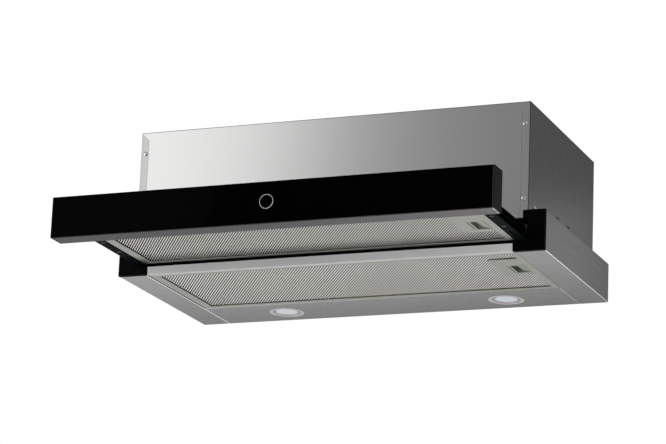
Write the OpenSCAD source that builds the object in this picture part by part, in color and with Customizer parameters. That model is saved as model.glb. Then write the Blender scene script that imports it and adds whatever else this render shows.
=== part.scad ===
// Pull out range hood, 60 cm wide, drawn with its drawer pulled out.
// Origin: on the wall, at the middle of the hood, level with its underside.
// +X is to the right, +Z is up, and the hood reaches from the wall towards -Y.

/* [Housing] */
// Width of the base and of the drawer's front
hood_w = 600; // [500:10:900]
// Depth of the base, from the wall to its front edge
base_d = 276; // [255:1:340]
// Height of the base
base_h = 54; // [52:1:66]
// Set-back of the upper box from each side of the base
box_inset = 23; // [20:1:30]
// How far the upper box stands out in front of the base
box_lead = 5; // [4.5:0.1:5]
// Height of the top plate above the underside
box_top = 200; // [160:1:260]
// Thickness of the steel sheet
sheet = 1; // [0.8:0.1:1.2]
// Width of the underside strip at each side
strip_w = 40; // [34:1:48]
// Depth of the rear strip that holds the lamps
lamp_strip_d = 88; // [70:1:90]
// Width of the box's front flanges
flange_w = 11; // [9:1:14]
// Height of the front plate's bottom edge below the base's top
front_drop = 10; // [8:1:12]

/* [Front bar and corner caps] */
// Height of the silver bar
bar_h = 11; // [9:1:12]
// Depth of the silver bar
bar_d = 8; // [7:1:12]
// Length of the corner caps' plugs at the ends of the bar
plug_l = 2.8; // [2:0.1:6]
// How far the corner caps stand out in front of the base
cap_proud = 6; // [5.5:0.1:8]
// Width of a corner cap beside the upper box
cap_top_w = 30; // [26:1:34]

/* [Drawer] */
// Travel of the drawer
travel = 169.5; // [120:0.5:180]
// Gap left between the drawer's front and the caps when it is closed
closed_gap = 0.5; // [0.3:0.1:2]
// Thickness of the drawer's front, glass included
panel_t = 30; // [22:1:40]
// Thickness of the front glass
glass_t = 4; // [3:0.5:6]
// Thickness of the front's end caps
end_cap_t = 2.5; // [2:0.5:5]
// Width of the end caps' lips beside the glass
cap_lip = 1.6; // [1:0.1:2]
// Outer radius of the light ring of the touch control
ring_r = 10.3; // [8:0.1:14]
// Width of the light ring's line
ring_line = 1; // [0.6:0.1:2]
// Length of the drawer's sides
drawer_side_l = 260; // [230:1:260]
// Width of the ledge inside each drawer side that the filter hangs on
flange_in = 12.3; // [10:0.1:20]
// Width of the flange that reaches outwards under the runners
flange_out = 11.7; // [9:0.1:11.7]

/* [Runners] */
// Width from the side panel to the drawer's side
runner_w = 12.2; // [11.5:0.1:14]
// Height of the outer member
runner_h = 15; // [14:0.5:16]
// Length of the outer member
runner_l = 246; // [200:1:250]
// Radius of the balls
ball_r = 1.05; // [0.9:0.05:1.1]
// Pitch of the balls in the cage
ball_pitch = 8; // [6:0.5:12]
// Number of balls in each row
ball_count = 9; // [4:1:10]

/* [Grease filters] */
// Thickness of a filter cassette
filter_t = 7.7; // [7:0.1:8.5]
// Height of the main filter's underside
main_filter_z = 0.5; // [0.3:0.1:1]
// Height of the drawer filter's underside
drawer_filter_z = 14; // [13:0.5:15]
// Depth of the drawer's filter
drawer_filter_d = 166; // [120:1:168]
// Width of a filter's left and right border
filter_side_w = 14; // [10:1:20]
// Width of its front and rear border
filter_lip_w = 8; // [6:1:12]
// Thickness of the mesh
mesh_t = 4; // [3:0.5:5]
// Slots along each of the mesh's two rows
mesh_slots = 70; // [40:1:74]
// Share of the pitch that a slot takes
mesh_open = 0.52; // [0.3:0.01:0.7]
// Lean of the slots, sideways per unit of depth
mesh_lean = 0.63; // [0.3:0.01:0.8]
// Play around a filter
filter_play = 0.5; // [0.3:0.1:1]

/* [Latches] */
// Distance from a filter's right edge to its latch pocket
latch_inset = 13.2; // [12.6:0.1:18]
// Length of the pocket, across the hood
pocket_l = 20; // [19.6:0.1:26]
// Width of the pocket, front to back
pocket_w = 36; // [30:1:46]
// Depth of the pocket
pocket_h = 6.2; // [5.5:0.1:6.5]
// Travel of the latch
latch_travel = 4; // [3.8:0.1:4.5]
// How far the main filter's latch lies in front of the filter's middle
latch_lead = 12.3; // [0:0.1:30]
// How far the drawer filter's latch lies behind the filter's middle
latch_lag = 7.2; // [0:0.1:20]
// Play around the sliding latch
latch_play = 0.3; // [0.2:0.05:0.5]

/* [Lamps] */
// Outer radius of a lamp's bezel
lamp_r = 24.5; // [20:0.5:28]
// Radius of the lens
lens_r = 15.3; // [12:0.1:17]
// Place of the left lamp
lamp_left_x = -154; // [-200:1:-100]
// Place of the right lamp
lamp_right_x = 169; // [100:1:200]
// Distance of the lamps from the wall
lamp_y = 43; // [32:1:50]

/* [Fan] */
// Place of the fan's axis, from the wall
fan_from_wall = 156; // [150:1:170]
// Gap between the impeller and the scroll's nose
nose_gap = 4; // [3:0.5:8]
// Growth of the scroll from its nose to its outlet
scroll_growth = 26; // [20:1:30]
// Angle at which the scroll starts, measured up from the wall side
nose_angle = 75; // [65:1:80]
// Inner width of the scroll
scroll_w = 100; // [80:1:110]
// Number of blades
blade_count = 36; // [20:1:44]
// Radial depth of the blades
blade_d = 10; // [8:0.5:12]
// Thickness of a blade
blade_t = 0.8; // [0.6:0.1:1.2]
// Radius of the motor's shaft
shaft_r = 4; // [3:0.5:5]

/* [Duct collar] */
// Outer radius of the collar, for a duct 120 mm wide
collar_r = 60; // [50:1:62.5]
// Wall of the collar
collar_t = 2; // [1.6:0.1:3]
// Height of the collar above the top plate
collar_h = 28; // [24:1:30]
// Radius of the rod that the flaps turn on
rod_r = 1.2; // [1:0.1:1.5]

/* [Fixings] */
// Spacing of the cabinet screw holes, left to right
fix_spacing_x = 480; // [300:10:520]
// Spacing of the cabinet screw holes, front to back
fix_spacing_y = 200; // [160:10:210]
// Radius of the cabinet screw holes
fix_hole_r = 2.75; // [2:0.25:3.5]
// Radius of the cable's bore in its gland
cable_r = 4; // [3:0.5:5]
// Head radius of the screws
screw_head_r = 3.2; // [2.5:0.1:4]

/* [Hidden] */
$fn = 64;
half_w = hood_w / 2;
box_half = half_w - box_inset;             // outer face of the upper box's sides
box_in = box_half - sheet;                 // inner face of the upper box's sides
base_y = -base_d;                          // front edge of the base
box_y = base_y - box_lead;                 // front face of the upper box
cap_y = base_y - cap_proud;                // front face of the corner caps
seam = 0.2;                                // gap between sheets that meet edge to edge
panel_back = cap_y - closed_gap - travel;  // rear face of the drawer's front, pulled out
panel_y = panel_back - panel_t;            // front face of the glass
front_z = base_h - front_drop;             // bottom edge of the front plate
strip_in = half_w - strip_w;               // inner edge of the underside strips
lip_h = main_filter_z + filter_t + filter_play; // underside of the ledge above the filter
ledge_w = 10;                              // width of that ledge
tongue_w = 9.5;                            // width of the front plate's tongues
fold = 10;                                 // width of the folded edges of top and back

rail_z = drawer_filter_z + filter_t + 0.3; // underside of the drawer's ledges
flange_z = drawer_filter_z + 0.5;          // underside of the drawer's outer flanges
wall_x = box_in - runner_w;                // outer face of the drawer's side walls
drawer_wall_top = front_z - 4;             // top of the drawer's sides
runner_z = (rail_z + sheet + drawer_wall_top) / 2; // middle height of the runners
ball_gap = 0.05;                           // play of the balls between the members
inner_h = runner_h - 2 * sheet - 4 * ball_r - 4 * ball_gap; // height of the inner member
ball_x = box_in - 8;                       // ball rows, from the hood's middle
runner_y0 = base_y + 2;                    // front end of the outer member
inner_y0 = panel_back + 14;                // front end of the inner member
inner_l = drawer_side_l - 16;              // length of the inner member
cage_y0 = base_y + 5;                      // front end of the ball cage

main_half = strip_in - filter_play;        // half the width of the main filter
drawer_half = wall_x - flange_in + ledge_w - filter_play; // and of the drawer's filter
main_y0 = cap_y + bar_d + filter_play;     // front edge of the main filter
main_y1 = -lamp_strip_d - filter_play;     // rear edge of the main filter
drawer_y1 = cap_y - 2;                     // rear edge of the drawer's filter
drawer_y0 = drawer_y1 - drawer_filter_d;   // front edge of the drawer's filter
main_latch_y = (main_y0 + main_y1) / 2 - latch_lead;
drawer_latch_y = (drawer_y0 + drawer_y1) / 2 + latch_lag;
skin = 0.8;                                // sheet of the filters
spring_r = 1.6;                            // radius of the latch spring's coil
spring_wire = 0.3;                         // radius of its wire
spring_turns = 6;
right_w = 9;                               // width of a filter's border beside its latch
mesh_web = 4;                              // solid width between the mesh's rows of slots
hook_w = 12;                               // width of the latch's hook
bar_w = 3;                                 // width of the fixed bar in the pocket
bar_lead = 1.2;                            // from the pocket's left end to that bar
slider_w = 10.2;                           // length of the latch's sloped plate
field_lead = 16;                           // plain field to the left of the pocket
field_front = pocket_w / 2 + 32;           // its reach in front of the pocket's middle
field_rear = pocket_w / 2 + 10;            // and behind it
barrel_r = lamp_r - 2.5;                   // outer radius of a lamp's barrel

fan_y = -fan_from_wall;
partition_z = front_z + 2;                 // underside of the partition plate
inlet_d = 84;                              // depth of the air's way up behind that plate
fan_floor = base_h + 2;                    // lowest level of the scroll
plate_z = box_top - sheet;                 // underside of the top plate
scroll_rim = 1.2;                          // sheet of the scroll
turn = 360 - nose_angle;                   // angle that the scroll goes round
nose_r = (plate_z - fan_floor - 8 - 2 * scroll_rim - scroll_growth * 0.74) / 2;
fan_z = plate_z - 8 - scroll_rim - nose_r - scroll_growth * (90 - nose_angle) / turn;
impeller_r = nose_r - nose_gap;
mouth_r = impeller_r - blade_d + 1;        // inlet holes in the scroll's sides
motor_r = impeller_r - blade_d - 8;
motor_x0 = -scroll_w / 2 - 18;             // outer end of the motor
motor_x1 = -6;                             // inner end of the motor
outlet_y0 = fan_y + nose_r * cos(nose_angle);
outlet_y1 = fan_y + nose_r + scroll_growth;
collar_y = (outlet_y0 + outlet_y1) / 2;    // middle of the duct collar
flap_z = box_top + 5.3;                    // underside of the closed flaps
flap_t = 1;
rod_z = flap_z + flap_t / 2 + 2.2;
fix_y = -base_d / 2 + 5;                   // middle of the cabinet fixing holes
gland_x = -220;
gland_y = -40;
gland_r = 8;

STEEL = [0.72, 0.72, 0.72];
DARK_STEEL = [0.16, 0.17, 0.19];
BLACK = [0.05, 0.05, 0.05];
FILTER_GREY = [0.62, 0.63, 0.59];
ZINC = [0.75, 0.76, 0.78];

// ---- Helpers ----

// A block between two corners
module block(x0, x1, y0, y1, z0, z1) {
    translate([x0, y0, z0]) cube([x1 - x0, y1 - y0, z1 - z0]);
}

// A profile in X and Z, run along Y
module along_y(y0, y1) {
    translate([0, y1, 0]) rotate([90, 0, 0]) linear_extrude(y1 - y0) children();
}

// A profile in Y and Z, run along X
module along_x(x0, x1) {
    translate([x0, 0, 0]) rotate([90, 0, 90]) linear_extrude(x1 - x0) children();
}

// The same piece for the left side
module for_side(side) {
    mirror([side < 0 ? 1 : 0, 0, 0]) children();
}

// A pan-head screw that points along +Z, with its head below z = 0
module pan_screw(length) {
    translate([0, 0, -1.6]) cylinder(r = screw_head_r, h = 1.6);
    cylinder(r = 1.5, h = length);
}

// ---- Upper box ----

module front_plate() {
    color(STEEL) difference() {
        union() {
            along_y(box_y, box_y + sheet)
                polygon([
                    [-box_half + flange_w + seam, front_z],
                    [box_half - flange_w - seam, front_z],
                    [box_half - flange_w - seam, box_top - flange_w - seam],
                    [box_in - seam, box_top - sheet - seam],
                    [box_in - seam, box_top],
                    [-box_in + seam, box_top],
                    [-box_in + seam, box_top - sheet - seam],
                    [-box_half + flange_w + seam, box_top - flange_w - seam]
                ]);
            for (side = [-1, 1]) for_side(side)
                block(box_half - flange_w - 10, box_half - flange_w + tongue_w,
                    box_y + sheet, box_y + 2 * sheet, base_h + 1, box_top - flange_w - 3);
        }
        front_screw_places() translate([0, 0, -1]) cylinder(r = 1.5, h = 10);
    }
}

// The four places of the screws in the front flanges, pointing into the box
module front_screw_places() {
    for (side = [-1, 1], z = [base_h + 16, box_top - 30])
        translate([side * (box_half - 6.5), box_y, z]) rotate([-90, 0, 0]) children();
}

// The places of the screws in the side panels, pointing into the box
module side_screw_places() {
    for (side = [-1, 1], place = [[17, 8], [114, 20], [160, 20]])
        translate([side * box_half, base_y + place[0], base_h + place[1]])
            rotate([0, -90 * side, 0]) children();
}

module side_panel(side) {
    color(STEEL) difference() {
        for_side(side) union() {
            along_x(box_in, box_half) polygon([
                [box_y, front_z], [base_y + 2, front_z], [base_y + 2, bar_h + 1],
                [0, bar_h + 1], [0, box_top], [box_y, box_top]
            ]);
            along_y(box_y, box_y + sheet) polygon([
                [box_half - flange_w, front_z], [box_half, front_z],
                [box_half, box_top], [box_half - flange_w, box_top - flange_w]
            ]);
        }
        front_screw_places() translate([0, 0, -1]) cylinder(r = 1.5, h = 10);
        side_screw_places() translate([0, 0, -1]) cylinder(r = 1.5, h = 10);
    }
}

module side_panel_left() { side_panel(-1); }

module side_panel_right() { side_panel(1); }

module top_plate() {
    color(STEEL) difference() {
        block(-box_in, box_in, box_y + sheet, -sheet, box_top - fold, box_top);
        block(-box_in + sheet, box_in - sheet, box_y + 2 * sheet, -2 * sheet,
            box_top - fold - 1, plate_z);
        translate([0, collar_y, plate_z - 1]) cylinder(r = collar_r - collar_t, h = 3);
        translate([gland_x, gland_y, plate_z - 1]) cylinder(r = gland_r, h = 3);
        for (x = [-1, 1], y = [-1, 1])
            translate([x * fix_spacing_x / 2, fix_y + y * fix_spacing_y / 2, plate_z - 1])
                cylinder(r = fix_hole_r, h = 3);
    }
}

module back_plate() {
    notch_z = lip_h + sheet + seam;
    color(STEEL) {
        along_y(-sheet, 0) polygon([
            [-strip_in + seam, 0], [strip_in - seam, 0], [strip_in - seam, notch_z],
            [box_in, notch_z], [box_in, box_top - seam], [-box_in, box_top - seam],
            [-box_in, notch_z], [-strip_in + seam, notch_z]
        ]);
        for (side = [-1, 1]) for_side(side)
            block(box_in - sheet, box_in, -fold, -sheet, front_z, box_top - fold - seam);
    }
}

// ---- Base ----

// Underside strip, wall, top ledge and the folded ledge over the filter
module base_side(side) {
    color(STEEL) for_side(side) {
        along_y(base_y, 0) polygon([
            [strip_in, 0], [half_w, 0], [half_w, base_h], [box_half + seam, base_h],
            [box_half + seam, base_h - sheet], [half_w - sheet, base_h - sheet],
            [half_w - sheet, sheet], [strip_in + sheet, sheet],
            [strip_in + sheet, lip_h + sheet], [strip_in, lip_h + sheet]
        ]);
        block(strip_in - ledge_w, strip_in, cap_y + bar_d + seam, -lamp_strip_d + 4,
            lip_h, lip_h + sheet);
        block(box_half + seam, half_w - sheet, -sheet, 0, sheet, base_h - sheet);
    }
}

module base_side_left() { base_side(-1); }

module base_side_right() { base_side(1); }

module lamp_places() {
    for (x = [lamp_left_x, lamp_right_x]) translate([x, -lamp_y, 0]) children();
}

module lamp_panel() {
    color(STEEL) difference() {
        union() {
            block(-strip_in + seam, strip_in - seam, -lamp_strip_d, -sheet - seam, 0, sheet);
            block(-strip_in + seam, strip_in - seam, -lamp_strip_d, -lamp_strip_d + sheet,
                sheet, lip_h);
            block(-strip_in + seam, strip_in - seam, -2 * sheet - seam, -sheet - seam,
                sheet, lip_h);
            lamp_places() translate([0, 0, sheet]) cylinder(r = lamp_r + 1.5, h = sheet);
        }
        lamp_places() translate([0, 0, -1]) cylinder(r = lamp_r + 0.2, h = 1 + sheet);
        lamp_places() cylinder(r = lamp_r - 2.3, h = 4 * sheet);
    }
}

// Hollow extrusion with a ledge for the filter's front edge
module front_bar() {
    wall = 1.2;
    end_x = strip_in - plug_l - seam;
    color([0.8, 0.8, 0.8]) along_y(cap_y, cap_y + bar_d) difference() {
        translate([-end_x, 0]) square([2 * end_x, bar_h]);
        translate([-end_x + wall, wall]) square([2 * (end_x - wall), bar_h - 2 * wall]);
    }
    color([0.8, 0.8, 0.8]) block(-end_x, end_x, cap_y, cap_y + wall, 0, bar_h);
}

// Plastic cap over the front end of a base side, with a mouth for the drawer's side
module corner_cap(side) {
    wall = 2;
    mouth_z0 = flange_z - 1.5;
    mouth_x = box_in + 0.5;
    color(BLACK) for_side(side) difference() {
        union() {
            block(strip_in, half_w, cap_y, base_y, 0, mouth_z0);
            block(mouth_x, half_w, cap_y, base_y, mouth_z0, front_z);
            block(box_half + seam, half_w, cap_y, base_y, front_z, base_h);
            block(half_w - cap_top_w, half_w, cap_y, box_y - seam, front_z, base_h);
            // Plug at the end of the silver bar
            block(strip_in - plug_l, strip_in + 1, cap_y + 0.6, base_y, 0.4, bar_h - 0.4);
            // Plug that fills the end of the base side
            block(box_half + 1, half_w - sheet - seam, base_y, base_y + 10,
                sheet + seam, base_h - sheet - seam);
        }
        // Hollow of the moulding, open to the rear
        block(box_half + 3, half_w - sheet - seam - wall, cap_y + wall, base_y + 11,
            sheet + seam + wall, base_h - sheet - seam - wall);
    }
}

module corner_cap_left() { corner_cap(-1); }

module corner_cap_right() { corner_cap(1); }

// Plate between the drawer's space and the fan's, open at the rear
module partition_plate() {
    color(ZINC) {
        block(-box_in, box_in, box_y + sheet + seam, -inlet_d, partition_z,
            partition_z + sheet);
        for (side = [-1, 1]) for_side(side)
            block(box_in - sheet, box_in, base_y + 4, -inlet_d, partition_z + sheet,
                partition_z + fold);
        block(-box_in, box_in, -inlet_d - sheet, -inlet_d, partition_z + sheet,
            partition_z + fold);
    }
}

// ---- Runners ----

// C-shaped outer member on the inside of the side panel
module runner_outer(side) {
    z0 = runner_z - runner_h / 2;
    z1 = runner_z + runner_h / 2;
    color(ZINC) for_side(side) along_y(runner_y0, runner_y0 + runner_l) polygon([
        [box_in, z0], [box_in, z1], [box_in - 10, z1], [box_in - 10, z1 - sheet],
        [box_in - sheet, z1 - sheet], [box_in - sheet, z0 + sheet],
        [box_in - 10, z0 + sheet], [box_in - 10, z0]
    ]);
}

module runner_outer_left() { runner_outer(-1); }

module runner_outer_right() { runner_outer(1); }

// C-shaped inner member on the outside of the drawer's side
module runner_inner(side) {
    z0 = runner_z - inner_h / 2;
    z1 = runner_z + inner_h / 2;
    color(DARK_STEEL) for_side(side) along_y(inner_y0, inner_y0 + inner_l) polygon([
        [wall_x, z0], [ball_x + 1.5, z0], [ball_x + 1.5, z0 + sheet],
        [wall_x + sheet, z0 + sheet], [wall_x + sheet, z1 - sheet],
        [ball_x + 1.5, z1 - sheet], [ball_x + 1.5, z1], [wall_x, z1]
    ]);
}

module runner_inner_left() { runner_inner(-1); }

module runner_inner_right() { runner_inner(1); }

// Strip with bent edges that holds a row of balls above and one below
module runner_cage(side) {
    row = inner_h / 2 + ball_gap + ball_r;
    length = ball_count * ball_pitch;
    color(ZINC) for_side(side) {
        for (up = [-1, 1]) {
            block(ball_x - 1.5, ball_x + 3.8, cage_y0, cage_y0 + length,
                runner_z + up * row - 0.25, runner_z + up * row + 0.25);
            for (i = [0 : ball_count - 1])
                translate([ball_x, cage_y0 + (i + 0.5) * ball_pitch, runner_z + up * row])
                    sphere(r = ball_r, $fn = 24);
        }
        block(ball_x + 3.3, ball_x + 3.8, cage_y0, cage_y0 + length,
            runner_z - row, runner_z + row);
    }
}

module runner_cages() {
    runner_cage(-1);
    runner_cage(1);
}

// ---- Grease filters ----

// Places along X on a filter whose half width is given: the inner edge of the
// ledge that it hangs on, its latch pocket, the fixed bar and the sliding latch
function ledge_at(half) = half + filter_play - ledge_w;
function pocket_at(half) = half - latch_inset - pocket_l;
function bar_at(half) = pocket_at(half) + bar_lead;
function slider_at(half) = pocket_at(half) + pocket_l - latch_play - slider_w;

// Folded frame with its mesh window, its latch pocket and two tabs at the left.
// ledge_z is the underside of the ledge that the filter hangs on.
module filter_frame(half, y0, y1, z, latch_y, ledge_z) {
    z1 = z + filter_t;
    latch_x = pocket_at(half);
    ledge_x = ledge_at(half);
    bar_x = bar_at(half);
    pocket_y0 = latch_y - pocket_w / 2;
    pocket_y1 = latch_y + pocket_w / 2;
    pocket_x1 = latch_x + pocket_l;
    color(FILTER_GREY) {
        difference() {
            union() {
                difference() {
                    block(-half, half, y0, y1, z, z1);
                    block(-half + skin, half - skin, y0 + skin, y1 - skin,
                        z + skin, z1 - skin);
                    block(-half + filter_side_w, half - right_w,
                        y0 + filter_lip_w, y1 - filter_lip_w, z - 1, z1 + 1);
                }
                // Plain field around the latch
                block(latch_x - field_lead, half - skin, latch_y - field_front,
                    latch_y + field_rear, z, z + skin);
                // Tray of the latch pocket
                block(latch_x - skin, pocket_x1 + skin, pocket_y0 - skin, pocket_y1 + skin,
                    z, z + pocket_h + skin);
            }
            block(latch_x, pocket_x1, pocket_y0, pocket_y1, z - 1, z + pocket_h);
            // Narrow slit beside the pocket
            block(pocket_x1 + 2, pocket_x1 + 2.7, latch_y - 23, latch_y + 23, z - 1, z + 1.6);
            // Slot for the latch's tail and hook
            block(ledge_x - 6, ledge_x + 1, latch_y - hook_w / 2 - latch_play,
                latch_y + hook_w / 2 + latch_play, z + 2.5, z1 + 1);
        }
        // Fixed bar that the latch is squeezed towards
        block(bar_x, bar_x + bar_w, pocket_y0, pocket_y1, z, z + pocket_h);
        // Tabs that reach over the ledge
        for (part = [0.25, 0.75]) {
            y = y0 + part * (y1 - y0);
            along_y(y - 7, y + 7) polygon([
                [-ledge_x + 2.6, z1 - skin], [-ledge_x + 2.6, ledge_z + sheet + 1.3],
                [-ledge_x - 3.5, ledge_z + sheet + 1.3], [-ledge_x - 3.5, ledge_z + sheet + 0.3],
                [-ledge_x + 0.6, ledge_z + sheet + 0.3], [-ledge_x + 0.6, z1 - skin]
            ]);
        }
    }
}

// Expanded mesh: two rows of leaning slots in a pad that is cut out around the latch
module filter_mesh(half, y0, y1, z, latch_y) {
    x0 = -half + filter_side_w - 4;
    x1 = half - right_w + 4;
    latch_x = pocket_at(half);
    field_x = latch_x - field_lead;
    ya = y0 + filter_lip_w - 4;
    yb = y1 - filter_lip_w + 4;
    row_d = (yb - ya - 3 * mesh_web) / 2;
    lean = mesh_lean * row_d;
    pitch = (x1 - x0 + lean) / mesh_slots;
    slot = pitch * mesh_open;
    cut_x = latch_x - 2;
    cut_y0 = latch_y - pocket_w / 2 - 2;
    cut_y1 = latch_y + pocket_w / 2 + 2;
    color([0.7, 0.7, 0.66]) translate([0, 0, z + skin])
        linear_extrude(mesh_t) difference() {
            polygon([
                [x0, ya], [x1, ya], [x1, cut_y0], [cut_x, cut_y0],
                [cut_x, cut_y1], [x1, cut_y1], [x1, yb], [x0, yb]
            ]);
            for (row = [0, 1]) {
                b = ya + mesh_web + row * (row_d + mesh_web);
                intersection() {
                    for (i = [0 : mesh_slots - 1]) {
                        a = x0 - lean + i * pitch;
                        polygon([
                            [a + lean, b], [a + lean + slot, b],
                            [a + slot, b + row_d], [a, b + row_d]
                        ]);
                    }
                    difference() {
                        translate([x0 + mesh_web, b])
                            square([x1 - x0 - 2 * mesh_web, row_d]);
                        translate([field_x - mesh_web, latch_y - field_front])
                            square([x1 - field_x, field_front + field_rear]);
                    }
                }
            }
        }
}

// Sliding latch: a sloped plate for the finger, a tail and a hook over the ledge
module latch(half, z, latch_y, ledge_z) {
    ledge_x = ledge_at(half);
    slider_x = slider_at(half);
    pocket_x1 = pocket_at(half) + pocket_l;
    plate_top = z + pocket_h - latch_play;
    plate_half = pocket_w / 2 - latch_play;
    hook_z = ledge_z + sheet + 0.3;
    color([0.5, 0.53, 0.5]) {
        along_y(latch_y - plate_half, latch_y + plate_half) polygon([
            [slider_x, z + 3.4], [pocket_x1 - latch_play, z + 0.8],
            [pocket_x1 - latch_play, plate_top], [slider_x, plate_top]
        ]);
        along_y(latch_y - hook_w / 2, latch_y + hook_w / 2) polygon([
            [pocket_x1 - 2, z + 3.2], [ledge_x - 0.6, z + 3.2], [ledge_x - 0.6, hook_z],
            [ledge_x + 3.5, hook_z], [ledge_x + 3.5, hook_z + 0.4],
            [ledge_x + 2, hook_z + 1.3], [ledge_x - 1.6, hook_z + 1.3],
            [ledge_x - 1.6, plate_top], [pocket_x1 - 2, plate_top]
        ]);
    }
}

// A point on the middle line of the latch spring, t from 0 to 1
function coil_point(t, length) = [
    t * length,
    spring_r * cos(360 * spring_turns * t),
    spring_r * sin(360 * spring_turns * t)
];

// One ring of six points around the wire, in the plane of X and the radius
function coil_ring(t, length) = let (p = coil_point(t, length), a = 360 * spring_turns * t) [
    for (k = [0 : 5]) p + spring_wire * [cos(60 * k), sin(60 * k) * cos(a), sin(60 * k) * sin(a)]
];

// Extension spring that pulls the latch outwards, from its tail to the filter's rim
module latch_spring(half, z, latch_y) {
    x0 = ledge_at(half) - 0.6 + spring_wire;
    length = half - skin - spring_wire - x0;
    rings = spring_turns * 12;
    points = [for (i = [0 : rings]) each coil_ring(i / rings, length)];
    walls = [
        for (i = [0 : rings - 1], k = [0 : 5], f = [0, 1])
            let (a = 6 * i + k, b = 6 * i + (k + 1) % 6)
                f == 0 ? [a, b, b + 6] : [a, b + 6, a + 6]
    ];
    ends = [[for (k = [5 : -1 : 0]) k], [for (k = [0 : 5]) 6 * rings + k]];
    color(ZINC) translate([x0, latch_y, z + 4])
        polyhedron(points = points, faces = concat(walls, ends));
}

module main_filter_frame() {
    filter_frame(main_half, main_y0, main_y1, main_filter_z, main_latch_y, lip_h);
}

module main_filter_mesh() {
    filter_mesh(main_half, main_y0, main_y1, main_filter_z, main_latch_y);
}

module main_latch() { latch(main_half, main_filter_z, main_latch_y, lip_h); }

module main_latch_spring() { latch_spring(main_half, main_filter_z, main_latch_y); }

module drawer_filter_frame() {
    filter_frame(drawer_half, drawer_y0, drawer_y1, drawer_filter_z, drawer_latch_y, rail_z);
}

module drawer_filter_mesh() {
    filter_mesh(drawer_half, drawer_y0, drawer_y1, drawer_filter_z, drawer_latch_y);
}

module drawer_latch() { latch(drawer_half, drawer_filter_z, drawer_latch_y, rail_z); }

module drawer_latch_spring() { latch_spring(drawer_half, drawer_filter_z, drawer_latch_y); }

// ---- Lamps ----

// Silver flange and barrel
module lamp_bezels() {
    color([0.8, 0.78, 0.76]) lamp_places() rotate_extrude() polygon([
        [barrel_r - 2, 0], [lamp_r, 0], [lamp_r, sheet], [barrel_r, sheet],
        [barrel_r, 16], [barrel_r - 2, 16]
    ]);
}

module lamp_rings() {
    color([0.35, 0.34, 0.34]) lamp_places() rotate_extrude() polygon([
        [lens_r + 0.1, 1], [barrel_r - 2, 0.3], [barrel_r - 2, 2.6], [lens_r + 0.1, 2.6]
    ]);
}

module lamp_lenses() {
    color([0.85, 0.9, 0.93]) lamp_places() translate([0, 0, 1.1]) cylinder(r = lens_r, h = 1.5);
}

// Light board with its finned heat sink
module lamp_bodies() {
    fin = 1.6;
    color([0.55, 0.56, 0.58]) lamp_places() {
        translate([0, 0, 2.8]) cylinder(r = barrel_r - 2.2, h = 8);
        intersection() {
            translate([0, 0, 10]) cylinder(r = barrel_r - 2.2, h = 9);
            for (i = [-3 : 3]) translate([i * 5.2 - fin / 2, -lamp_r, 10])
                cube([fin, 2 * lamp_r, 9]);
        }
    }
}

// ---- Fan ----

// Radius of the scroll's inner wall at an angle from its nose to its outlet
function scroll_radius(angle) = nose_r + scroll_growth * (angle - nose_angle) / turn;

// Outline of the scroll and its outlet, widened by rim, in Y and Z
module scroll_outline(rim, top) {
    steps = 38;
    polygon([
        for (i = [0 : steps])
            let (angle = nose_angle + i * turn / steps, r = scroll_radius(angle) + rim)
                [fan_y + r * cos(angle), fan_z + r * sin(angle)],
        [outlet_y1 + rim, top], [outlet_y0, top]
    ]);
    if (rim > 0)
        translate([outlet_y0 - rim, fan_z + nose_r * sin(nose_angle)])
            square([2 * rim, top - fan_z - nose_r * sin(nose_angle)]);
}

module scroll_wall() {
    color(ZINC) along_x(-scroll_w / 2, scroll_w / 2) difference() {
        scroll_outline(scroll_rim, plate_z);
        scroll_outline(0, plate_z + 1);
    }
}

// Side sheet with its bell-mouthed inlet and the flange under the top plate
module scroll_side(side) {
    x0 = scroll_w / 2;
    color(ZINC) for_side(side) difference() {
        union() {
            along_x(x0, x0 + scroll_rim) scroll_outline(scroll_rim, plate_z);
            translate([x0 - 5, fan_y, fan_z]) rotate([0, 90, 0])
                cylinder(r = mouth_r + scroll_rim, h = 5);
            block(x0, x0 + 10, outlet_y0, outlet_y1, plate_z - 1.5, plate_z);
        }
        translate([x0 - 6, fan_y, fan_z]) rotate([0, 90, 0]) cylinder(r = mouth_r, h = 8);
        translate([x0 + 6, collar_y, plate_z - 3]) cylinder(r = 1.5, h = 4);
    }
}

module scroll_side_left() { scroll_side(-1); }

module scroll_side_right() { scroll_side(1); }

// One edge point of a forward-curved blade, t from the inner to the outer edge
function blade_point(t, face) =
    let (r = impeller_r - blade_d + t * blade_d, a = 16 * t * t - 6 * t)
        [r * cos(a) - face * blade_t / 2 * sin(a), r * sin(a) + face * blade_t / 2 * cos(a)];

module impeller() {
    half = scroll_w / 2 - 6;
    color([0.3, 0.31, 0.33]) translate([0, fan_y, fan_z]) rotate([0, 90, 0]) {
        translate([0, 0, -half]) linear_extrude(2 * half)
            for (i = [0 : blade_count - 1]) rotate(i * 360 / blade_count) polygon([
                for (t = [0 : 0.25 : 1]) blade_point(t, 1),
                for (t = [1 : -0.25 : 0]) blade_point(t, -1)
            ]);
        for (z = [-half, half - 1.5]) translate([0, 0, z]) difference() {
            cylinder(r = impeller_r + 0.4, h = 1.5);
            translate([0, 0, -1]) cylinder(r = impeller_r - blade_d + 2, h = 4);
        }
        difference() {
            union() {
                translate([0, 0, -1]) cylinder(r = impeller_r + 0.4, h = 2);
                translate([0, 0, -4]) cylinder(r = 10, h = 16);
            }
            translate([0, 0, -5]) cylinder(r = shaft_r, h = 18);
        }
    }
}

module fan_shaft() {
    color(ZINC) translate([motor_x0 + 8, fan_y, fan_z]) rotate([0, 90, 0])
        cylinder(r = shaft_r, h = 12 - motor_x0 - 8);
}

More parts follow.
